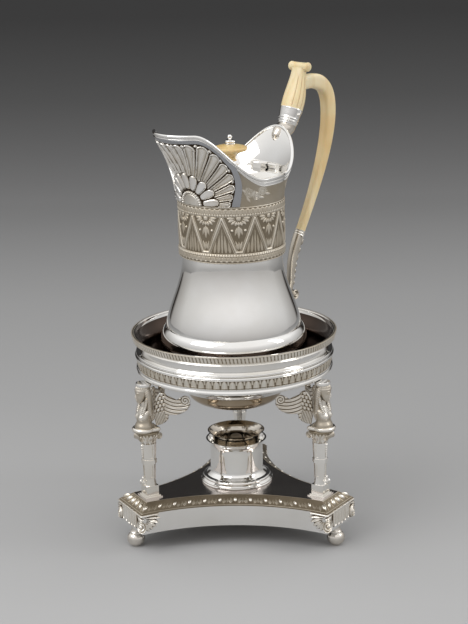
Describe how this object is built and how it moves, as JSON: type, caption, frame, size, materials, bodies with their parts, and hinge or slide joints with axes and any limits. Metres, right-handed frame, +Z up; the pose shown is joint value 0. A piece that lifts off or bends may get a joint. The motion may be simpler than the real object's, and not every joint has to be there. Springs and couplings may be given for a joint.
{
  "type": "coffee pot",
  "caption": "Silver ewer-shaped coffee pot with an ivory handle, in a warming bowl on a stand with winged sphinx legs and a spirit burner.",
  "frame": {"origin": "on the table, under the axis of the stand, bowl and pot", "axes": "+Z up, +X towards the handle, -X towards the spout"},
  "size_m": [0.1904, 0.1613, 0.3243],
  "materials": {
    "polished_silver": "mirror-polished silver",
    "frosted_silver": "chased silver on a matt ground",
    "ivory": "polished ivory",
    "wick_cotton": "woven cotton"
  },
  "bodies": {
    "stand": {"bun_foot_1": "polished_silver", "bun_foot_2": "polished_silver", "bun_foot_3": "polished_silver", "base_band": "polished_silver", "base_frieze": "frosted_silver", "base_plate": "polished_silver", "corner_mount_1": "frosted_silver", "corner_mount_2": "frosted_silver", "corner_mount_3": "frosted_silver", "leg_block_1": "polished_silver", "leg_block_2": "polished_silver", "leg_block_3": "polished_silver", "leg_shaft_1": "polished_silver", "leg_shaft_2": "polished_silver", "leg_shaft_3": "polished_silver", "leg_capital_1": "frosted_silver", "leg_capital_2": "frosted_silver", "leg_capital_3": "frosted_silver", "sphinx_bust_1": "frosted_silver", "sphinx_bust_2": "frosted_silver", "sphinx_bust_3": "frosted_silver", "left_wing_1": "frosted_silver", "left_wing_2": "frosted_silver", "left_wing_3": "frosted_silver", "right_wing_1": "frosted_silver", "right_wing_2": "frosted_silver", "right_wing_3": "frosted_silver", "stand_ring": "polished_silver", "ring_leaf_band": "frosted_silver"},
    "bowl": {"warming_bowl": "polished_silver", "bowl_rim_band": "frosted_silver"},
    "pot": {"pot_body": "polished_silver", "neck_lower_border": "frosted_silver", "neck_band": "frosted_silver", "neck_upper_border": "frosted_silver", "pot_mouth": "polished_silver", "shell_spout": "polished_silver", "rim_wire": "polished_silver", "lid_seat": "polished_silver", "lid_brackets": "polished_silver", "lid_hinge_pin": "polished_silver", "upper_socket": "polished_silver", "upper_ferrule": "polished_silver", "ivory_handle": "ivory", "lower_socket": "polished_silver", "handle_pins": "polished_silver"},
    "lid": {"lid_plate": "polished_silver", "lid_strap": "polished_silver", "ivory_knob": "ivory", "knob_finial": "polished_silver"},
    "burner": {"burner_reservoir": "polished_silver", "burner_foot": "polished_silver"},
    "wick_unit": {"wick_holder": "polished_silver", "wick_tube": "polished_silver", "wick": "wick_cotton"}
  },
  "joints": [
    {"name": "bowl_lift", "type": "slide", "parent": "stand", "child": "bowl", "axis": [0, 0, 1], "range_m": [0, 0.05]},
    {"name": "pot_lift", "type": "slide", "parent": "bowl", "child": "pot", "axis": [0, 0, 1], "range_m": [0, 0.06]},
    {"name": "lid_hinge", "type": "hinge", "parent": "pot", "child": "lid", "pos_m": [0.0332, 0, 0.257], "axis": [0, 1, 0], "range_deg": [0, 60]},
    {"name": "burner_slide", "type": "slide", "parent": "stand", "child": "burner", "axis": [-0.7193, -0.6947, 0], "range_m": [0, 0.09]},
    {"name": "wick_lift", "type": "slide", "parent": "burner", "child": "wick_unit", "axis": [0, 0, 1], "range_m": [0, 0.015]}
  ]
}
